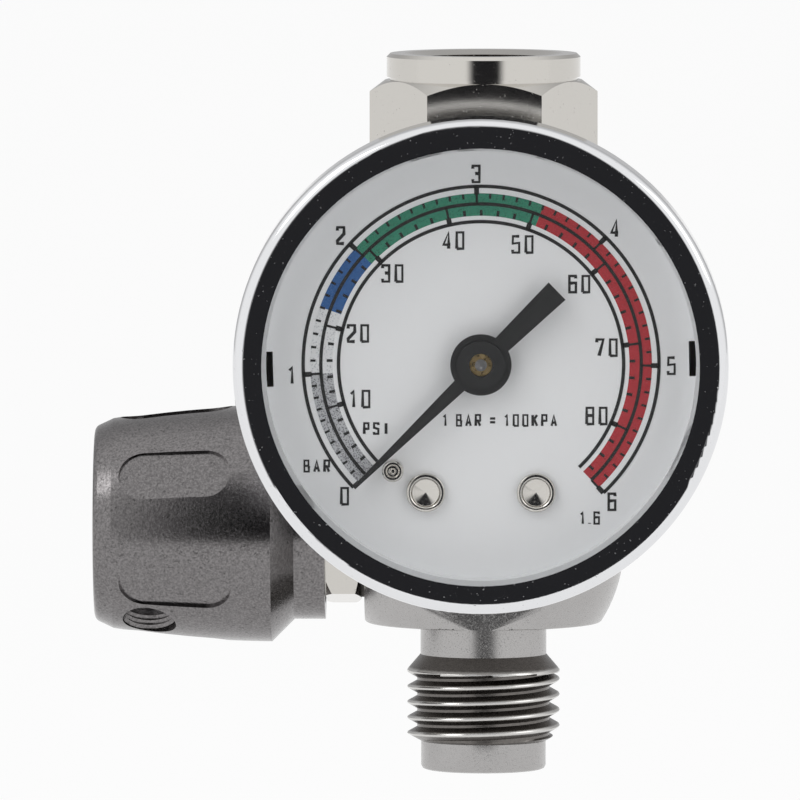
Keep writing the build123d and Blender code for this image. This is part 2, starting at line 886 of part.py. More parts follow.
def toothed_arc(teeth, addendum, dedendum, first, count):
    """Points around count teeth, counter-clockwise, the first one centred on the angle first."""
    side = tooth_flank(teeth, addendum, dedendum)
    points = []
    for number in range(count):
        middle = first + number * 360 / teeth
        points += [polar(radius, middle - half) for radius, half in reversed(side)]
        points += [polar(radius, middle + half) for radius, half in side]
    return points


def pinion_arbor():
    """Shaft of the pointer with its pinion and the hairspring's collet."""
    dedendum = sector_addendum + root_clearance
    first = sector_side + 180 + 180 / pinion_teeth
    outline = toothed_arc(pinion_teeth, pinion_addendum, dedendum, first, pinion_teeth)
    low = sector_back - 0.2
    gear = extrude(Pos(0, 0, low) * make_face(Polyline(*outline, close=True)), sector_thickness + 0.4)
    shaft = rod(arbor_radius, block_front + seat_gap, arbor_front)
    collet_radius = hairspring_start - hairspring_thickness / 2
    collet = rod(collet_radius, hairspring_back, hairspring_back + hairspring_width)
    return GAUGE * (shaft + gear + collet)


def sector_gear():
    """Toothed sector with a hub and the tail that the link pulls."""
    dedendum = pinion_addendum + root_clearance
    step = 360 / sector_teeth
    count = int(sector_arc / step)
    first = sector_side + int(sector_lead / step) * step - (count - 1) * step
    outline = toothed_arc(sector_teeth, sector_addendum, dedendum, first, count)
    wedge = make_face(Polyline((0, 0), *outline, close=True))
    away = sector_side + 180
    tail = Rot(0, 0, away) * Pos(sector_tail / 2, 0) * SlotCenterToCenter(sector_tail, tail_width)
    flat = wedge + Circle(sector_hub) + tail
    gear = extrude(Pos(0, 0, sector_back) * flat, sector_thickness)
    pin = Pos(*polar(sector_tail, away), 0) * rod(link_pin, sector_back, link_back + link_thickness)
    return GAUGE * Pos(sector_x, sector_y, 0) * (gear - rod(arbor_radius, 0, gauge_front) + pin)


def sector_arbor():
    """Shaft of the sector."""
    shaft = rod(arbor_radius, block_front + seat_gap, front_plate_front - seat_gap)
    return GAUGE * Pos(sector_x, sector_y, 0) * shaft


def link():
    """Flat link from the tube's free end to the sector's tail."""
    tail_x, tail_y = polar(sector_tail, sector_side + 180)
    start = Vector(sector_x + tail_x, sector_y + tail_y, 0)
    end = Vector(*tip_place(), 0)
    length = (end - start).length
    bar = Pos(length / 2, 0) * SlotCenterToCenter(length, link_width)
    hole = link_pin + pivot_gap
    bar = bar - Circle(hole) - Pos(length, 0) * Circle(tip_pin_radius + 2 * pivot_gap)
    place = Plane(origin=start + Vector(0, 0, link_back), x_dir=end - start, z_dir=(0, 0, 1))
    return GAUGE * place * extrude(bar, link_thickness)


def hairspring():
    """Flat spiral that takes up the play between pinion and sector."""
    steps = 24 * hairspring_turns
    growth = hairspring_pitch * hairspring_turns / steps
    half = hairspring_thickness / 2
    outer = [polar(hairspring_start + growth * i + half, 15 * i) for i in range(steps + 1)]
    inner = [polar(hairspring_start + growth * i - half, 15 * i) for i in range(steps + 1)]
    outline = Spline(*outer) + Spline(*inner) + Line(outer[0], inner[0]) + Line(outer[-1], inner[-1])
    return GAUGE * extrude(Pos(0, 0, hairspring_back) * make_face(outline), hairspring_width)


def pointer():
    """Needle with a square-ended tail and a raised hub."""
    half = needle_half_width(0)
    tail_half = pointer_tail_width / 2
    outline = Polyline(
        (pointer_length, -pointer_tip / 2),
        (pointer_length, pointer_tip / 2),
        (0, half),
        (-pointer_tail, tail_half),
        (-pointer_tail, -tail_half),
        (0, -half),
        close=True,
    )
    needle = extrude(Pos(0, 0, pointer_back) * make_face(outline), pointer_thickness)
    hub = rod(pointer_hub, pointer_back - 0.1, pointer_front)
    boss = rod(pointer_boss, pointer_front, pointer_front + pointer_boss_height)
    body = needle + hub + boss - rod(pointer_recess, pointer_back - 0.1, arbor_front)
    return GAUGE * Rot(0, 0, pointer_zero) * body


def pointer_bush():
    """Brass bush that carries the pointer on its shaft."""
    return GAUGE * ring(bush_radius, arbor_radius, pointer_back - 0.3, pointer_front)


# ---------------------------------------------------------------- files

PIECES = [
    regulator_body,
    valve_seat,
    poppet,
    poppet_seal,
    poppet_spring,
    piston,
    piston_seal,
    bonnet,
    bonnet_seal,
    main_spring,
    spring_button,
    adjusting_screw,
    adjusting_knob,
    set_screw,
    outlet_tail,
    tail_seal,
    nut_seal,
    swivel_nut,
    gauge_seal,
    gauge_socket,
    gauge_case,
    bezel,
    lens,
    lens_gasket,
    dial,
    dial_screws,
    stop_pin,
    bourdon_tube,
    bourdon_tip,
    movement_back_plate,
    movement_front_plate,
    movement_pillars,
    movement_screws,
    pinion_arbor,
    sector_gear,
    sector_arbor,
    link,
    hairspring,
    pointer,
    pointer_bush,
]

os.makedirs("parts", exist_ok=True)
for piece in PIECES:
    export_step(piece(), f"parts/{piece.__name__}.step")
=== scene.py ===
# %% [markdown]
# # A small air pressure regulator with its gauge
#
# Air comes in through the threaded stem below and leaves through the swivel nut on top. The knob
# on the left squeezes a spring, and the gauge in front shows the pressure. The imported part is
# loaded first, and every place and size below is measured on it, so nothing is fitted by eye.

import json
import math

import bpy
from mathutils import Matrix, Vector

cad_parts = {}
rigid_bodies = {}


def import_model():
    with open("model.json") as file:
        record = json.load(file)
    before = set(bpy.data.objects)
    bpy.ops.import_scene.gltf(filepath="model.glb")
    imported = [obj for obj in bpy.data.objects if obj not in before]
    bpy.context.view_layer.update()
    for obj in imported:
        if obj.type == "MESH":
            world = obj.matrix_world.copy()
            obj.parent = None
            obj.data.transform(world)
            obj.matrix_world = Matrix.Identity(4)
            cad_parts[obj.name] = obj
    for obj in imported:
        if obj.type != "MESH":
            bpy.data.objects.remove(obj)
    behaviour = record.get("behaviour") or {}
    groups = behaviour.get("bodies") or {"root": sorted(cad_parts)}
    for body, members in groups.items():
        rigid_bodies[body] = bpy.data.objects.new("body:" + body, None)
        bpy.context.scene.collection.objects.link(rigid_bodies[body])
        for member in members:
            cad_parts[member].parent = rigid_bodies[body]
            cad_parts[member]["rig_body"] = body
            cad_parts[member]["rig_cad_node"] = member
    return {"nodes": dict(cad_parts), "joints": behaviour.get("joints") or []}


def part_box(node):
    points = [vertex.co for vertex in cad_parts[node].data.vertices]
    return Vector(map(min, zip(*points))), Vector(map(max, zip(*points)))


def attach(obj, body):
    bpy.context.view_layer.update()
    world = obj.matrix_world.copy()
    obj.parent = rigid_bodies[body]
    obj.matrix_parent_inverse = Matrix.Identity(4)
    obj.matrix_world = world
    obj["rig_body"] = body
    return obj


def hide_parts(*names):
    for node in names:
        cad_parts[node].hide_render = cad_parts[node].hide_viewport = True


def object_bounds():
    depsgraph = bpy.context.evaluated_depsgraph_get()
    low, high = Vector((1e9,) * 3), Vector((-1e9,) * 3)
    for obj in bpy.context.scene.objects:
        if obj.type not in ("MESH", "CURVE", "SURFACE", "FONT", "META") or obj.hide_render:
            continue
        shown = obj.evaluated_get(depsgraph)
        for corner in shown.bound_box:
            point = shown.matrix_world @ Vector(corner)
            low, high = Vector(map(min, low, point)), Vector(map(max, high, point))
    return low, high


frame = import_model()
cad_box = [list(corner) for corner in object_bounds()]
nodes = frame["nodes"]
mm = 0.001
print("nodes", len(nodes), "box in mm", [[round(x / mm, 2) for x in corner] for corner in cad_box])

# %% [markdown]
# The part has three lines that its pieces are turned about: the flow line straight up, the knob's
# line to the left and the gauge's line to the front. A point is given as a radius and a distance
# along its line, as on a lathe, and `on` puts it into the shared frame. The lines' heights come
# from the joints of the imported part.

# %% The three turning lines
joints = {joint["name"]: joint for joint in frame["joints"]}
knob_z = joints["knob_turn"]["pos_m"][2]
gauge_z = joints["pointer_turn"]["pos_m"][2]
DIRECTIONS = {"flow": Vector((0, 0, 1)), "knob": Vector((1, 0, 0)), "gauge": Vector((0, -1, 0))}
STARTS = {"flow": Vector((0, 0, 0)), "knob": Vector((0, 0, knob_z)), "gauge": Vector((0, 0, gauge_z))}
SIDES = {"flow": Vector((1, 0, 0)), "knob": Vector((0, 1, 0)), "gauge": Vector((1, 0, 0))}


def on(line, radius, along, angle=0.0):
    """A point in metres, from a radius and a distance in mm and an angle in degrees."""
    across = SIDES[line]
    up = DIRECTIONS[line].cross(across)
    turn = math.radians(angle)
    outward = across * math.cos(turn) + up * math.sin(turn)
    return STARTS[line] + (outward * radius + DIRECTIONS[line] * along) * mm


print("knob line at", round(knob_z / mm, 2), "gauge line at", round(gauge_z / mm, 2))

# %% [markdown]
# A finish is a material, and most of it is arithmetic on patterns. `Wire` holds one socket of a
# node and lets Python's own operators add the Math nodes, so a mask reads as a formula. `Finish`
# makes any other node with one method: its type, its settings, then what goes into its sockets.

# %% Shader sockets that can be added and multiplied


class Wire:
    """One output socket, with arithmetic that adds Math nodes."""

    def __init__(self, finish, socket):
        self.finish = finish
        self.socket = socket

    def math(self, operation, first, second, clamp=False):
        settings = {"operation": operation, "use_clamp": clamp}
        return self.finish.node("ShaderNodeMath", settings, {0: first, 1: second})

    def __add__(self, other):
        return self.math("ADD", self, other)

    __radd__ = __add__

    def __sub__(self, other):
        return self.math("SUBTRACT", self, other)

    def __rsub__(self, other):
        return self.math("SUBTRACT", other, self)

    def __mul__(self, other):
        return self.math("MULTIPLY", self, other)

    __rmul__ = __mul__

    def __truediv__(self, other):
        return self.math("DIVIDE", self, other)

    def __rtruediv__(self, other):
        return self.math("DIVIDE", other, self)

    def __pow__(self, other):
        return self.math("POWER", self, other)

    def above(self, edge, softness):
        """0 below the edge and 1 above it, with a soft step between."""
        settings = {"interpolation_type": "SMOOTHSTEP"}
        values = {"Value": self, "From Min": edge - softness, "From Max": edge + softness}
        return self.finish.node("ShaderNodeMapRange", settings, values)


class Finish:
    """A material whose nodes are made by one method."""

    def __init__(self, name, color, roughness, metallic=0.0, **constants):
        self.material = bpy.data.materials.new(name)
        self.material.use_nodes = True
        self.tree = self.material.node_tree
        self.shader = self.tree.nodes["Principled BSDF"]
        self.material.diffuse_color = (*color[:3], 1)
        self.set("Base Color", (*color[:3], 1))
        self.set("Roughness", roughness)
        self.set("Metallic", metallic)
        for socket, value in constants.items():
            self.set(socket.replace("_", " "), value)

    def feed(self, socket, value):
        if isinstance(value, Wire):
            self.tree.links.new(value.socket, socket)
        else:
            socket.default_value = value

    def node(self, kind, settings=None, values=None, output=0):
        made = self.tree.nodes.new(kind)
        for key, value in (settings or {}).items():
            setattr(made, key, value)
        for key, value in (values or {}).items():
            self.feed(made.inputs[key], value)
        return Wire(self, made.outputs[output])

    def set(self, socket, value):
        self.feed(self.shader.inputs[socket], value)

    def place(self):
        return self.node("ShaderNodeTexCoord", output="Object")

    def grain(self, size, detail=3.0, stretch=(1, 1, 1), rough=0.6):
        """Noise from 0 to 1 whose lumps are about that many millimetres across."""
        scale = tuple(s / (size * mm) for s in stretch)
        point = self.node("ShaderNodeMapping", {}, {"Vector": self.place(), "Scale": scale})
        values = {"Vector": point, "Scale": 1.0, "Detail": detail, "Roughness": rough}
        return self.node("ShaderNodeTexNoise", {}, values)

    def blend(self, share, first, second):
        """A colour that goes from the first to the second as share goes from 0 to 1."""
        values = {"Factor": share, 6: first, 7: second}
        return self.node("ShaderNodeMix", {"data_type": "RGBA"}, values, output=2)

    def bump(self, height, depth, strength=1.0):
        """Presses the height field into the surface, depth in mm."""
        values = {"Height": height, "Distance": depth * mm, "Strength": strength}
        self.set("Normal", self.node("ShaderNodeBump", {}, values))


def shade(color, factor):
    """The same colour, lighter or darker."""
    return (*(min(1.0, channel * factor) for channel in color[:3]), 1)


print("shader helpers ready")

# %% [markdown]
# The body is brass with a satin nickel plate. The blasting under the plate leaves a fine even
# grain, and the plate pools a little, so the colour drifts. Grain goes into the bump and the
# roughness, and a few tiny dark specks stand for pores.

# %% Satin nickel for the body
NICKEL = (0.43, 0.42, 0.415)


def plated(name, color, roughness, grain_size, grain_depth, speck=0.5):
    """A plated metal with blasted grain, pores and slow changes of tone."""
    finish = Finish(name, color, roughness, 1.0)
    fine = finish.grain(grain_size)
    slow = finish.grain(4.0, 2.0)
    pores = finish.grain(grain_size, 2.0, rough=0.8).above(0.62, 0.08)
    tone = finish.blend(slow, shade(color, 0.92), shade(color, 1.08))
    finish.set("Base Color", finish.blend(pores * speck, tone, shade(color, 0.4)))
    finish.set("Roughness", fine * 0.12 + slow * 0.06 + pores * 0.2 + (roughness - 0.09))
    finish.bump(fine - pores * 0.8, grain_depth)
    return finish


satin_nickel = plated("satin_nickel_plate", NICKEL, 0.24, 0.12, 0.004, 0.3)
print("satin nickel made")

# %% [markdown]
# The nut and the bonnet are polished before they are plated, so they mirror the room. Real
# polishing leaves hairlines one way and a faint unevenness, which keeps the faces from looking
# like glass. Chrome on the gauge's ring is the same with a colder colour.

# %% Polished nickel and chrome
def polished(name, color, roughness, hairline, along=(1, 1, 14)):
    """A bright plate with faint hairlines along one direction."""
    finish = Finish(name, color, roughness, 1.0)
    lines = finish.grain(0.9, 4.0, along)
    slow = finish.grain(3.0, 2.0)
    specks = finish.grain(0.22, 1.0).above(0.74, 0.02)
    finish.set("Base Color", finish.blend(specks * 0.3, color + (1,), shade(color, 0.4)))
    finish.set("Roughness", lines * 0.08 + slow * 0.05 + specks * 0.2 + (roughness - 0.05))
    finish.bump(lines * 0.4 + slow * 0.6 - specks, hairline)
    return finish


bright_nickel = polished("polished_nickel_plate", (0.61, 0.59, 0.555), 0.09, 0.002)
chrome = polished("polished_chrome_plate", (0.78, 0.785, 0.8), 0.07, 0.002)
print("polished plates made")

# %% [markdown]
# The knob is bead-blasted aluminium with a dark clear anodic skin: grey with a strong, glinting
# grain. Dark and light grains sit side by side, so the grain feeds colour, gloss and bump.

# %% Bead-blasted knob finish
KNOB_GREY = (0.195, 0.186, 0.187)
blasted = Finish("bead_blasted_grey", KNOB_GREY, 0.36, 1.0)
knob_grain = blasted.grain(0.2, 4.0, rough=0.75)
knob_pits = blasted.grain(0.34, 2.0).above(0.66, 0.05)
knob_slow = blasted.grain(5.0, 2.0)
knob_tone = blasted.blend(knob_grain.above(0.5, 0.16), shade(KNOB_GREY, 0.72), shade(KNOB_GREY, 1.3))
blasted.set("Base Color", blasted.blend(knob_pits * 0.6, knob_tone, shade(KNOB_GREY, 0.3)))
blasted.set("Roughness", knob_grain * 0.16 + knob_slow * 0.06 + 0.07)
blasted.bump(knob_grain - knob_pits * 0.6, 0.01)
print("knob finish made")

# %% [markdown]
# Inside are plain workshop metals: machined brass and steel, drawn wire and annealed copper. Their
# detail is a turning mark or a draw line and a little tarnish. One recipe with other colours,
# sizes and depths covers them.

# %% Workshop metals
brass = plated("machined_brass", (0.72, 0.54, 0.27), 0.28, 0.3, 0.006, 0.3)
steel = plated("machined_steel", (0.56, 0.56, 0.57), 0.3, 0.25, 0.006, 0.3)
spring_steel = plated("drawn_spring_steel", (0.42, 0.42, 0.44), 0.3, 0.2, 0.005, 0.2)
copper = plated("annealed_copper", (0.74, 0.44, 0.3), 0.32, 0.4, 0.005, 0.3)
print("workshop metals made")

# %% [markdown]
# Paint, rubber, fibre and clear plastic are not metals. Matt black paint has an orange-peel skin,
# rubber a dull moulded bloom, pressed fibre a mottled felt of short hairs, and the lens a few
# faint scuffs on a clear sheet.

# %% Paint, rubber, fibre and the clear lens
def dull(name, color, roughness, lump, depth, change=0.3):
    """A matt skin with small lumps and a slightly uneven colour."""
    finish = Finish(name, color, roughness, 0.0)
    lumps = finish.grain(lump, 4.0)
    slow = finish.grain(lump * 9, 2.0)
    low, high = shade(color, 1 - change), shade(color, 1 + change)
    finish.set("Base Color", finish.blend(lumps * 0.6 + slow * 0.4, low, high))
    finish.set("Roughness", lumps * 0.2 + (roughness - 0.1))
    finish.bump(lumps, depth)
    return finish


pale_gasket = dull("pale_gasket", (0.74, 0.75, 0.76), 0.5, 0.3, 0.006, 0.03)
rubber = dull("moulded_rubber", (0.03, 0.03, 0.031), 0.62, 0.2, 0.01)
fibre = dull("pressed_fibre", (0.09, 0.082, 0.075), 0.8, 0.25, 0.03, 0.5)
black_paint = dull("matt_black_paint", (0.018, 0.018, 0.019), 0.42, 0.14, 0.006)
black_paint.set("Coat Roughness", 0.3)
clear_lens = Finish("clear_lens_sheet", (0.5, 0.51, 0.51), 0.04, 0.0, IOR=1.33)
scuffs = clear_lens.grain(1.6, 5.0, (1, 1, 9)).above(0.66, 0.05)
clear_lens.set("Roughness", scuffs * 0.1 + 0.02)
clear_lens.set("Alpha", scuffs * 0.02 + 0.012)
clear_lens.bump(scuffs, 0.002)
print("paint, rubber, fibre and lens made")

# %% [markdown]
# The dial's enamel is white and a shade cool, with a slight haze and hardly any lumps. Printing
# inks lie on it as flat bands, black and coloured, and show the fine dots of the screen they
# were printed through. The dots are a cell pattern that is repeated at about six to a millimetre.

# %% Enamel and printing inks
dial_white = dull("white_enamel", (0.86, 0.87, 0.88), 0.38, 0.5, 0.002, 0.015)


def ink(name, color, dot_color, share, dot=0.17):
    """Printed ink with fine screen dots in a second colour, share of the area being dots."""
    finish = Finish(name, color, 0.5, 0.0)
    scale = 1 / (dot * mm)
    point = finish.node("ShaderNodeMapping", {}, {"Vector": finish.place(), "Scale": (scale,) * 3})
    cells = finish.node("ShaderNodeTexVoronoi", {}, {"Vector": point, "Scale": 1.0})
    dots = 1 - cells.above(share, 0.12)
    worn = finish.grain(0.5, 3.0)
    finish.set("Base Color", finish.blend(dots * (worn * 0.6 + 0.5), color + (1,), dot_color + (1,)))
    finish.set("Roughness", worn * 0.15 + 0.42)
    finish.bump(dots * 0.5 + worn * 0.5, 0.002)
    return finish


ink_black = ink("black_ink", (0.012, 0.012, 0.013), (0.03, 0.028, 0.027), 0.3)
ink_grey = ink("grey_ink", (0.5, 0.51, 0.53), (0.09, 0.09, 0.1), 0.42, 0.13)
ink_pale = ink("pale_ink", (0.78, 0.79, 0.80), (0.36, 0.38, 0.42), 0.26, 0.18)
ink_blue = ink("blue_ink", (0.03, 0.12, 0.34), (0.02, 0.06, 0.18), 0.34)
ink_green = ink("green_ink", (0.035, 0.24, 0.15), (0.02, 0.11, 0.07), 0.34)
ink_red = ink("red_ink", (0.44, 0.03, 0.04), (0.24, 0.02, 0.03), 0.3)
print("enamel and inks made")

# %% [markdown]
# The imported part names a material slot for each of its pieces. Pieces whose shape is already right
# keep their mesh and get the finish for their slot, so this dictionary is the paint shop's list.

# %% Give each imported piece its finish
FINISHES = {
    "satin_nickel": satin_nickel,
    "bright_nickel": bright_nickel,
    "chrome": chrome,
    "gunmetal": blasted,
    "brass": brass,
    "steel": steel,
    "spring_steel": spring_steel,
    "rubber": rubber,
    "clear_lens": clear_lens,
    "dial_white": dial_white,
    "black_paint": black_paint,
    "copper": copper,
    "fibre": fibre,
}
for name, piece in nodes.items():
    for slot in piece.material_slots:
        slot.material = FINISHES[slot.material.name.split(".")[0]].material
nodes["lens_gasket"].material_slots[0].material = pale_gasket.material

# %% [markdown]
# Modelling starts with an outline: one vertex that is pushed from point to point, like a pencil
# along a template. Spinning it about its line turns the whole piece in one go, and bevelling the
# outline's corners first rounds every edge evenly. That is quicker than bevelling a dense ring,
# and it can't catch on itself.

# %% Outline and lathe
def set_aside():
    """Leaves edit mode and selects nothing, so that the next operator touches only its own piece."""
    if bpy.context.object and bpy.context.object.mode != "OBJECT":
        bpy.ops.object.mode_set(mode="OBJECT")
    bpy.ops.object.select_all(action="DESELECT")


def outline(name, points, closed=False):
    """One vertex pushed along the points. Leaves the piece in edit mode."""
    set_aside()
    bpy.ops.mesh.primitive_plane_add(size=mm, location=(0, 0, 0))
    piece = bpy.context.object
    piece.name = name
    bpy.ops.object.mode_set(mode="EDIT")
    bpy.ops.mesh.select_all(action="SELECT")
    bpy.ops.mesh.merge(type="CENTER")
    bpy.ops.transform.translate(value=points[0])
    path = points[1:] + (points[:1] if closed else [])
    before = points[0]
    for after in path:
        bpy.ops.mesh.extrude_region_move(TRANSFORM_OT_translate={"value": after - before})
        before = after
    bpy.ops.mesh.select_all(action="SELECT")
    if closed:
        bpy.ops.mesh.remove_doubles(threshold=1e-7)
    return piece


def finish_mesh(piece, angle=35):
    """Merges doubles, turns faces outwards, shades smooth and goes back to object mode."""
    bpy.ops.mesh.select_all(action="SELECT")
    bpy.ops.mesh.remove_doubles(threshold=1e-7)
    bpy.ops.mesh.normals_make_consistent(inside=False)
    bpy.ops.object.mode_set(mode="OBJECT")
    bpy.ops.object.shade_smooth_by_angle(angle=math.radians(angle))
    return piece


def lathe(name, line, profile, rounding=0.0, steps=144, closed=True):
    """A turned piece from (radius, along) points in mm, its corners rounded by that many mm."""
    piece = outline(name, [on(line, radius, along) for radius, along in profile], closed)
    if rounding:
        bpy.ops.mesh.bevel(affect="VERTICES", offset=rounding * mm, segments=4)
        bpy.ops.mesh.select_all(action="SELECT")
    axis = DIRECTIONS[line]
    bpy.ops.mesh.spin(steps=steps, angle=math.tau, center=STARTS[line], axis=axis)
    return finish_mesh(piece)


def wear(piece, finish, body, *replaced):
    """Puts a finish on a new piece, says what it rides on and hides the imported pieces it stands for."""
    piece.data.materials.clear()
    piece.data.materials.append(finish.material)
    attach(piece, body)
    if replaced:
        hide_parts(*replaced)
    return piece


print("lathe ready")

# %% [markdown]
# The stem's pipe thread is a true right-hand spiral. A ring-shaped groove looks nearly the same
# from far off, but its crests don't climb, and the eye notices. One tooth's outline is swept by
# the Screw modifier, which lifts it one pitch each turn. Both ends then need the lathe's lead
# chamfer, so points that stand outside the turned envelope are drawn in to it, and the groove runs
# out into a plain band under the neck.

# %% Spiral thread on the inlet stem
PITCH, CREST, ROOT = 1.337, 6.5785, 5.7224
THREAD_LENGTH, NECK, NECK_TOP, LEAD, CORE = 6.908, 5.425, 0.6, 0.65, 5.2
FLANK, CREST_FLAT = 0.4457, 0.2228
RUN_OUT, PLAIN = 0.75, 0.95


def envelope(height):
    """The largest radius that the turned blank has at this height, in mm."""
    if height > -RUN_OUT:
        return CREST + (NECK - CREST) * min(1.0, (height + RUN_OUT) / (NECK_TOP + RUN_OUT))
    rise = height + THREAD_LENGTH
    return min(CREST, ROOT - 0.35 + (CREST - ROOT + 0.35) * max(0.0, rise) / LEAD)


half_pitch, half_crest = PITCH / 2, CREST_FLAT / 2
tooth = [(ROOT, 0.0), (ROOT, half_pitch - half_crest - FLANK), (CREST - 0.05, half_pitch - half_crest)]
tooth += [(CREST, half_pitch), (CREST - 0.05, half_pitch + half_crest)]
tooth += [(ROOT, half_pitch + half_crest + FLANK), (ROOT, PITCH)]
bottom = -THREAD_LENGTH - PITCH * 1.5
thread = outline("inlet_thread", [on("flow", radius, along + bottom) for radius, along in tooth])
bpy.ops.mesh.subdivide(number_cuts=2)
bpy.ops.object.mode_set(mode="OBJECT")
spiral = thread.modifiers.new("spiral", "SCREW")
spiral.axis = "Z"
spiral.angle = math.tau
spiral.screw_offset = PITCH * mm
spiral.iterations = 8
spiral.steps = 96
spiral.render_steps = 96
spiral.use_merge_vertices = True
bpy.ops.object.modifier_apply(modifier="spiral")
for vertex in thread.data.vertices:
    radius = math.hypot(vertex.co.x, vertex.co.y) / mm
    height = vertex.co.z / mm
    wanted = envelope(height) if height > -PLAIN else min(radius, envelope(height))
    if height > NECK_TOP + 0.25 or height < -THREAD_LENGTH - 0.25:
        wanted = CORE
    vertex.co.x *= wanted / radius
    vertex.co.y *= wanted / radius
    vertex.co.z = max(-THREAD_LENGTH, min(NECK_TOP, height)) * mm
bpy.ops.object.mode_set(mode="EDIT")
finish_mesh(thread, 40)
print("thread faces", len(thread.data.polygons))

# %% [markdown]
# A cut thread is rougher in its grooves, and its crests are rubbed bright. The grooves are coloured
# dark as painted shade, for the shadow that lies in them. How far a point is from the flow line
# tells groove from crest, so the radius drives the colour and the gloss.

# %% Finish of the thread
# painted shade: the dark groove colour stands for the shadow that lies in the thread's grooves
GROOVE_SHADE, RUBBED = (0.15, 0.14, 0.132), (0.62, 0.61, 0.59)
thread_nickel = Finish("thread_plate", GROOVE_SHADE, 0.3, 1.0)
corners = thread_nickel.node("ShaderNodeSeparateXYZ", {}, {0: thread_nickel.place()})
sides = corners.socket.node.outputs
east, north = Wire(thread_nickel, sides["X"]), Wire(thread_nickel, sides["Y"])
from_line = (east * east + north * north) ** 0.5 / mm
streaks = thread_nickel.grain(0.35, 4.0, (1, 1, 3))
crest = (from_line + streaks * 0.12 - 0.06).above(CREST - 0.16, 0.1)
# painted shade in the grooves, streaked by the grain; the crests get the rubbed colour
groove_shade_tone = thread_nickel.blend(streaks, shade(GROOVE_SHADE, 0.6), shade(GROOVE_SHADE, 1.6))
thread_nickel.set("Base Color", thread_nickel.blend(crest, groove_shade_tone, RUBBED + (1,)))
thread_nickel.set("Roughness", streaks * 0.15 + crest * -0.06 + 0.2)
thread_nickel.bump(streaks, 0.008)
print("thread finish made")

# %% [markdown]
# The core is the neck above the thread and the nose under it, with the air bore up its middle. The rest
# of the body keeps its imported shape: a copy is merged, cut level just above its shoulder and
# capped there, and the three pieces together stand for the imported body. Merging spoils the shading
# of long thin triangles, so a Weighted Normal modifier lets the large faces decide.

# %% Stem core and body
NOSE, NOSE_END, BORE, SHOULDER = 5.375, -9.358, 3.3, 3.36
core_profile = [(BORE, SHOULDER), (NECK, SHOULDER), (NECK, NECK_TOP), (CORE + 0.1, NECK_TOP - 0.05)]
core_profile += [(CORE + 0.1, -THREAD_LENGTH), (NOSE, -THREAD_LENGTH)]
core_profile += [(NOSE, NOSE_END + 0.35), (NOSE - 0.13, NOSE_END + 0.1), (NOSE - 0.38, NOSE_END), (BORE, NOSE_END)]
stem_core = lathe("stem_core", "flow", core_profile)
set_aside()
upper_body = nodes["regulator_body"].copy()
upper_body.data = nodes["regulator_body"].data.copy()
upper_body.name = "body_shell"
upper_body.parent = None
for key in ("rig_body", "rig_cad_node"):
    if key in upper_body:
        del upper_body[key]
bpy.context.scene.collection.objects.link(upper_body)
upper_body.select_set(True)
bpy.context.view_layer.objects.active = upper_body
bpy.ops.object.mode_set(mode="EDIT")
bpy.ops.mesh.select_all(action="SELECT")
bpy.ops.mesh.remove_doubles(threshold=1e-7)
cut = (0, 0, SHOULDER * mm)
bpy.ops.mesh.bisect(plane_co=cut, plane_no=(0, 0, 1), clear_inner=True, use_fill=True)
bpy.ops.object.mode_set(mode="OBJECT")
bpy.ops.object.shade_smooth_by_angle(angle=math.radians(24))
even_shading = upper_body.modifiers.new("even_shading", "WEIGHTED_NORMAL")
even_shading.keep_sharp = True
even_shading.weight = 100
bpy.ops.object.modifier_apply(modifier="even_shading")
wear(upper_body, satin_nickel, "body", "regulator_body")
wear(thread, thread_nickel, "body")
wear(stem_core, satin_nickel, "body")
print("body faces", len(upper_body.data.polygons))

# %% [markdown]
# Two screws with hollow heads hold the dial, and a stop pin catches the pointer at zero. A hollow head is a raised rim round a cone, and the
# cone throws the light about in a fan. Each is turned about its own line, whose place comes from
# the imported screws' box.

# %% Dial screws
dial_face = -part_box("dial")[0].y / mm
print("dial face stands", round(dial_face, 3), "mm forward of the flow line")
screws_low, screws_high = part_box("dial_screws")
HEAD = 1.65
screw_profile = [(0, 0.0), (HEAD, 0.0), (HEAD, 0.46), (1.56, 0.57), (1.34, 0.6), (1.24, 0.52), (1.14, 0.3), (0, 0.12)]
for side, x in (("left", screws_low.x / mm + HEAD), ("right", screws_high.x / mm - HEAD)):
    line = "dial_screw_" + side
    DIRECTIONS[line] = DIRECTIONS["gauge"]
    SIDES[line] = SIDES["gauge"]
    STARTS[line] = Vector((x * mm, 0, screws_low.z + HEAD * mm))
    profile = [(radius, dial_face + along) for radius, along in screw_profile]
    head = lathe(line, line, profile, 0.03, 64)
    if side == "left":
        wear(head, bright_nickel, "body", "dial_screws")
    else:
        wear(head, bright_nickel, "body")
pin_low, pin_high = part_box("stop_pin")
PIN = (pin_high.x - pin_low.x) / 2 / mm
DIRECTIONS["pin"], SIDES["pin"] = DIRECTIONS["gauge"], SIDES["gauge"]
STARTS["pin"] = Vector((pin_low.x + PIN * mm, 0, pin_low.z + PIN * mm))
pin_back, pin_front = -pin_high.y / mm, -pin_low.y / mm
pin_profile = [(0, pin_back), (PIN, pin_back), (PIN, pin_front - 0.2), (PIN - 0.16, pin_front), (PIN * 0.62, pin_front)]
pin_profile += [(PIN * 0.52, pin_front - 0.22), (PIN * 0.3, pin_front - 0.2), (PIN * 0.2, pin_front - 0.06), (0, pin_front - 0.04)]
stop_pin = lathe("stop_pin_turned", "pin", pin_profile, 0.02, 64)
wear(stop_pin, bright_nickel, "body", "stop_pin")
print("dial screws at", [round(STARTS["dial_screw_" + side].x / mm, 2) for side in ("left", "right")])

# %% [markdown]
# The grub screw's hole in the knob is tapped, and its first turns catch the light as thin arcs.
# A thin sleeve of small ridges lines the hole, turned about the hole's own line, which leaves
# the knob's axis at 240 degrees.

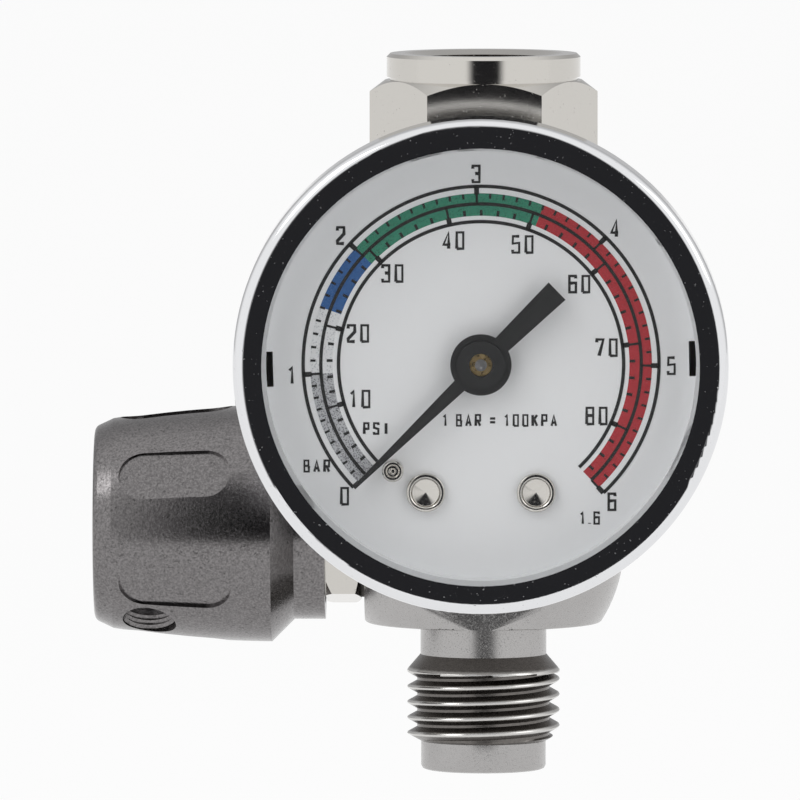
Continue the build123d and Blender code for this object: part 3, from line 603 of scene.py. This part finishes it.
# %% Tapped hole in the knob
TAP_X, TAP_SIDE, TAP_HOLE = -28.7, math.radians(240), 2.3
DIRECTIONS["tap"] = Vector((0, math.cos(TAP_SIDE), math.sin(TAP_SIDE)))
STARTS["tap"] = Vector((TAP_X * mm, 0, knob_z))
SIDES["tap"] = Vector((1, 0, 0))
ridges = [(TAP_HOLE - 0.01, 7.7)]
for turn in range(3):
    ridges += [(TAP_HOLE - 0.22, 7.85 + turn * 0.45), (TAP_HOLE - 0.02, 8.07 + turn * 0.45)]
ridges += [(TAP_HOLE - 0.005, 9.0), (TAP_HOLE - 0.005, 7.7)]
tapped = lathe("tapped_hole", "tap", ridges, 0, 72)
wear(tapped, blasted, "knob")
print("tap points towards", [round(x, 2) for x in DIRECTIONS["tap"]])

# %% [markdown]
# The gauge's dial carries two scales on one arc: bar outside and psi inside. The zero mark sits
# low on the left, and each bar takes 46 degrees clockwise. The angles and radii below set the
# printing out as a dial maker would, from the centre of the pointer.

# %% Dial layout
ink_height = 0.02


def bar_angle(bar):
    """Direction of a bar mark, in degrees from the right, counter-clockwise."""
    if bar < 1:
        return 224.2 - bar * 40.7
    return 229.5 - 46.0 * bar


def psi_angle(psi):
    return bar_angle(psi / 14.5038)


# %% [markdown]
# A printed band is a thin flat strip bent round the dial. Its cross-section is a small rectangle
# that spins only part of a turn, and the ends are filled. The same tool makes thin lines and
# broad coloured bands, and a tick is a strip that spins through a very small angle. The spin
# operator turns clockwise about its axis, so the angle goes in with its sign changed.

# %% Printed bands, lines and ticks
ANGLE_STEP = 2.0


def band(name, inner, outer, start, end, lift=0.0):
    """A flat strip of ink between two radii and two angles."""
    low, high = dial_face + 0.001, dial_face + ink_height + lift
    corners = [(inner, low), (outer, low), (outer, high), (inner, high)]
    piece = outline(name, [on("gauge", r, h, start) for r, h in corners], True)
    bpy.ops.mesh.edge_face_add()
    sweep = end - start
    steps = max(1, round(abs(sweep) / ANGLE_STEP))
    axis = DIRECTIONS["gauge"]
    bpy.ops.mesh.spin(steps=steps, angle=-math.radians(sweep), center=STARTS["gauge"], axis=axis)
    return finish_mesh(piece, 30)


def join(name, pieces):
    """Makes one object of several."""
    set_aside()
    for piece in pieces:
        piece.select_set(True)
    bpy.context.view_layer.objects.active = pieces[0]
    if len(pieces) > 1:
        bpy.ops.object.join()
    pieces[0].name = name
    return pieces[0]


LINE = 0.29
OUTER_LINE, BAND_OUTER, MIDDLE_LINE, BAND_INNER, INNER_LINE = 15.1, 14.5, 13.6, 12.6, 12.1
first, last = bar_angle(0), bar_angle(6)
zones = [(0, 1, ink_grey), (1, 1.5, ink_pale), (1.5, 2, ink_blue), (2, 3.5, ink_green), (3.5, 6, ink_red)]
for low, high, colour in zones:
    strip = band(f"dial_zone_{low}", BAND_INNER, BAND_OUTER, bar_angle(low), bar_angle(high))
    wear(strip, colour, "body")
print("zones", len(zones))

# %% [markdown]
# Lines and marks are black, a hair higher than the colours so they lie on top. Bar marks sit in
# the outer half of the band and psi marks in the inner half. Whole numbers get a longer, wider
# mark that crosses to the black line.

# %% Scale lines and marks
marks = [
    band("outer_line", OUTER_LINE - LINE / 2, OUTER_LINE + LINE / 2, first, last, 0.01),
    band("middle_line", MIDDLE_LINE - LINE / 2, MIDDLE_LINE + LINE / 2, first, last, 0.01),
    band("inner_line", INNER_LINE - LINE / 2, INNER_LINE + LINE / 2, first, last, 0.01),
]


def tick(angle, inner, outer, width):
    half = math.degrees(width / 2 / ((inner + outer) / 2))
    return band("tick", inner, outer, angle + half, angle - half, 0.01)


for tenth in range(61):
    angle = bar_angle(tenth / 10)
    if tenth % 10 == 0:
        marks.append(tick(angle, BAND_OUTER - 0.1, OUTER_LINE, 0.42))
        marks.append(tick(angle, MIDDLE_LINE, BAND_OUTER, 0.2))
    else:
        marks.append(tick(angle, BAND_OUTER - 0.45, BAND_OUTER, 0.2))
for psi in range(0, 87, 2):
    angle = psi_angle(psi)
    if psi % 10 == 0:
        marks.append(tick(angle, INNER_LINE, BAND_INNER + 0.1, 0.42))
        marks.append(tick(angle, BAND_INNER, MIDDLE_LINE, 0.2))
    else:
        marks.append(tick(angle, BAND_INNER, BAND_INNER + 0.5, 0.24))
scale_marks = wear(join("dial_scale_marks", marks), ink_black, "body")
print("marks", len(marks), "faces", len(scale_marks.data.polygons))

# %% [markdown]
# The numbers are drawn with a ruling pen: each is one or two strokes of even width on a grid one
# unit wide and two high, with square shapes. Blender's own font is rounder, so the strokes are
# laid out here. A stroke becomes a round curve, a mesh, and is then pressed flat onto the dial.

# %% Strokes of the plain lettering
STROKES = {
    "0": [[(0, 0), (1, 0), (1, 2), (0, 2), (0, 0)]],
    "1": [[(0.25, 1.6), (0.65, 2), (0.65, 0)]],
    "2": [[(0, 1.6), (0, 2), (1, 2), (1, 1.2), (0, 0.35), (0, 0), (1, 0)]],
    "3": [[(0, 1.65), (0, 2), (1, 2), (1, 1.1), (0.35, 1.05)], [(0.6, 1.05), (1, 0.95), (1, 0), (0, 0), (0, 0.35)]],
    "4": [[(0.78, 0), (0.78, 2), (0, 0.5), (1.05, 0.5)]],
    "5": [[(1, 2), (0.05, 2), (0, 1.1), (1, 1.2), (1, 0), (0, 0), (0, 0.35)]],
    "6": [[(0.95, 1.7), (0.95, 2), (0, 2), (0, 0), (1, 0), (1, 1.15), (0, 1.1)]],
    "7": [[(0, 1.65), (0, 2), (1, 2), (0.35, 0)]],
    "8": [[(0, 0), (1, 0), (1, 2), (0, 2), (0, 0)], [(0, 1.05), (1, 1.05)]],
    "P": [[(0, 0), (0, 2), (1, 2), (1, 0.95), (0, 0.95)]],
    "S": [[(1, 1.65), (1, 2), (0, 2), (0, 1.15), (1, 0.9), (1, 0), (0, 0), (0, 0.35)]],
    "I": [[(0.5, 0), (0.5, 2)]],
    "B": [[(0, 1.05), (0.9, 1.05), (0.9, 2), (0, 2), (0, 0), (1, 0), (1, 1.0)]],
    "A": [[(0, 0), (0.5, 2), (1, 0)], [(0.2, 0.6), (0.8, 0.6)]],
    "R": [[(0, 0), (0, 2), (1, 2), (1, 0.95), (0, 0.95)], [(0.5, 0.95), (1, 0)]],
    "K": [[(0, 0), (0, 2)], [(1, 2), (0, 0.8)], [(0.4, 1.15), (1, 0)]],
    "=": [[(0, 0.65), (1.2, 0.65)], [(0, 1.35), (1.2, 1.35)]],
    ".": [[(0, 0), (0, 0.15)]],
}


def lettering(name, text, x, y, height, pen=0.3):
    """Plain lettering centred on x, y in mm from the dial's centre, as seen from the front."""
    set_aside()
    sheet = bpy.data.curves.new(name, "CURVE")
    sheet.dimensions = "3D"
    sheet.bevel_depth = pen / 2 * mm
    sheet.bevel_resolution = 1
    sheet.use_fill_caps = True
    unit_up = (height - pen) / 2
    unit_across = unit_up * 0.8
    step = unit_across + pen * 1.9
    total = sum(step * (0.5 if letter in " ." else 1) for letter in text) - (step - unit_across)
    pen_x = x - total / 2
    for letter in text:
        for stroke in STROKES.get(letter, []):
            spline = sheet.splines.new("POLY")
            spline.points.add(len(stroke) - 1)
            for point, (across, up) in zip(spline.points, stroke):
                px = (pen_x + across * unit_across) * mm
                py = (y - height / 2 + pen / 2 + up * unit_up) * mm
                point.co = (px, 0, py, 1)
        pen_x += step * (0.5 if letter in " ." else 1)
    piece = bpy.data.objects.new(name, sheet)
    bpy.context.scene.collection.objects.link(piece)
    piece.select_set(True)
    bpy.context.view_layer.objects.active = piece
    bpy.ops.object.convert(target="MESH")
    piece.scale = (1, 0.12, 1)
    piece.location = (0, -(dial_face + ink_height / 2 + 0.004) * mm, gauge_z)
    bpy.ops.object.transform_apply(location=True, rotation=True, scale=True)
    return piece


print("letters drawn", len(STROKES))

# %% [markdown]
# Bar numbers stand outside the arc and psi numbers inside it, each on the line from the centre
# through its mark. The unit names and the note that one bar is a hundred kilopascals are the
# only words. The middle of the lower dial stays bare.

# %% Numbers and units
letters = []
BAR_RING = 16.15
PSI_RING = 10.75
FIGURE_HEIGHT = 1.68


def number_at(name, text, ring, angle):
    """A number whose middle stands on a ring, in the direction of its mark."""
    turn = math.radians(angle)
    return lettering(name, text, ring * math.cos(turn), ring * math.sin(turn), FIGURE_HEIGHT)


for bar in range(7):
    letters.append(number_at(f"bar_{bar}", str(bar), BAR_RING, bar_angle(bar)))
for psi in range(10, 90, 10):
    letters.append(number_at(f"psi_{psi}", str(psi), PSI_RING, psi_angle(psi)))
letters.append(lettering("unit_psi", "PSI", -8.9, -5.5, 1.15, 0.25))
letters.append(lettering("unit_bar", "BAR", -13.95, -8.7, 1.2, 0.25))
letters.append(lettering("unit_note", "1 BAR = 100KPA", 1.55, -4.8, 1.15, 0.23))
letters.append(lettering("accuracy_class", "1.6", 9.2, -13.1, 1.2, 0.23))
dial_letters = wear(join("dial_letters", letters), ink_black, "body")
print("letters", len(letters), "faces", len(dial_letters.data.polygons))

# %% [markdown]
# The room is a white tent with one dark card behind the camera. Bright metal shows its shape by
# what it mirrors, so the card draws the dark band down the middle of round pieces and turns the
# flat front faces black, while everything else stays bright. The card is part of the world, as
# a soft-edged patch round one direction, so it stays put when the camera moves. The wall behind
# the part is a little greyer, which draws a soft outline on round edges seen at a slant.

# %% White room with a dark card
world = bpy.data.worlds.new("white_room")
bpy.context.scene.world = world
world.use_nodes = True
CARD_TURN = 3.0
CARD_HALF_WIDTH = 19.0
CARD_TOP = 42.0
CARD_BOTTOM = -40.0
BACK_TONE = (0.5, 0.5, 0.505, 1)


class Room(Finish):
    """The same node helpers, on the world's own tree."""

    def __init__(self, tree):
        self.tree = tree
        self.shader = tree.nodes["Background"]


room = Room(world.node_tree)
look = room.node("ShaderNodeTexCoord", output="Generated")
parts = room.node("ShaderNodeSeparateXYZ", {}, {0: look})
north = parts.socket.node.outputs
across = Wire(room, north["X"])
depth = Wire(room, north["Y"])
height = Wire(room, north["Z"])
azimuth = across.math("ARCTAN2", across, depth * -1) * math.degrees(1)
offset = azimuth - CARD_TURN
inside = (1 - offset.math("ABSOLUTE", offset, 0).above(CARD_HALF_WIDTH, 6.0))
rise = height * math.degrees(1)
tall = (1 - rise.above(CARD_TOP, 8.0)) * rise.above(CARD_BOTTOM, 6.0)
seen = room.node("ShaderNodeLightPath", output="Is Camera Ray")
card = inside * tall * (1 - seen)
back = depth.above(0.45, 0.4) * (1 - seen)
walls = room.blend(back, (1, 1, 1, 1), BACK_TONE)
room.set("Color", room.blend(card, walls, (0.02, 0.02, 0.022, 1)))
room.set("Strength", 1.0)
print("room lit")

# %% [markdown]
# The floor is a wide pale sheet just under the stem. To the camera it is nearly the white of the
# room, by a mix with plain emission, and it keeps a little of the part's own soft shadow. It ends
# a hand's width in front, so that the flat front faces mirror the dark card and not white paper.

# %% Floor
lowest = cad_box[0][2]
set_aside()
FLOOR_FRONT, FLOOR_SIZE = -0.13, 6.0
middle = (0, FLOOR_FRONT + FLOOR_SIZE / 2, lowest - 0.012)
bpy.ops.mesh.primitive_grid_add(x_subdivisions=8, y_subdivisions=8, size=FLOOR_SIZE, location=middle)
floor = bpy.context.object
floor.name = "floor"
bpy.ops.object.transform_apply(location=True, rotation=True, scale=True)
paper = Finish("pale_paper", (0.9, 0.9, 0.9), 0.9, 0.0)
paper_grain = paper.grain(30.0, 3.0)
paper.set("Base Color", paper.blend(paper_grain, (0.89, 0.89, 0.89, 1), (0.91, 0.91, 0.91, 1)))
glow = paper.node("ShaderNodeEmission", {}, {"Color": (1, 1, 1, 1), "Strength": 1.0})
camera_ray = paper.node("ShaderNodeLightPath", output="Is Camera Ray")
mirror_ray = paper.node("ShaderNodeLightPath", output="Is Glossy Ray")
through_ray = paper.node("ShaderNodeLightPath", output="Is Transmission Ray")
plain = camera_ray.math("MAXIMUM", camera_ray, mirror_ray.math("MAXIMUM", mirror_ray, through_ray))
surface = Wire(paper, paper.shader.outputs[0])
whole = paper.node("ShaderNodeMixShader", {}, {0: plain * 0.85, 1: surface, 2: glow})
paper.tree.links.new(whole.socket, paper.tree.nodes["Material Output"].inputs["Surface"])
floor.data.materials.append(paper.material)
print("floor at", round(lowest / mm - 12, 2))

# %% [markdown]
# The camera stands a metre and a half away with a long lens, a little above the part and a
# touch to its right, so lines stay parallel and the top of the nut just opens. Two large soft
# lamps, upper left and right, shape the satin pieces.

# %% Camera and lamps
DISTANCE = 1.5
CAMERA_TURN = math.radians(0.8)
CAMERA_RISE = math.radians(3.8)
aim = Vector((-7.2 * mm, 0, 22.5 * mm))
eye = Vector((
    math.sin(CAMERA_TURN) * math.cos(CAMERA_RISE),
    -math.cos(CAMERA_TURN) * math.cos(CAMERA_RISE),
    math.sin(CAMERA_RISE),
))
camera_data = bpy.data.cameras.new("camera")
camera_data.sensor_width = 36
camera_data.lens = 783
camera_data.clip_start = 0.01
camera = bpy.data.objects.new("camera", camera_data)
bpy.context.scene.collection.objects.link(camera)
camera.location = aim + eye * DISTANCE
camera.rotation_euler = (aim - camera.location).to_track_quat("-Z", "Y").to_euler()
bpy.context.scene.camera = camera


def lamp(name, place, size, watts):
    light = bpy.data.lights.new(name, "AREA")
    light.size = size
    light.energy = watts
    piece = bpy.data.objects.new(name, light)
    bpy.context.scene.collection.objects.link(piece)
    piece.location = place
    piece.rotation_euler = (-Vector(place)).to_track_quat("-Z", "Y").to_euler()
    return piece


lamp("left_lamp", (-0.5, -0.35, 0.55), 0.35, 0.8)
lamp("right_lamp", (0.6, -0.2, 0.4), 0.35, 0.4)
bpy.context.scene.view_settings.view_transform = "Standard"
print("camera at", [round(x, 3) for x in camera.location])
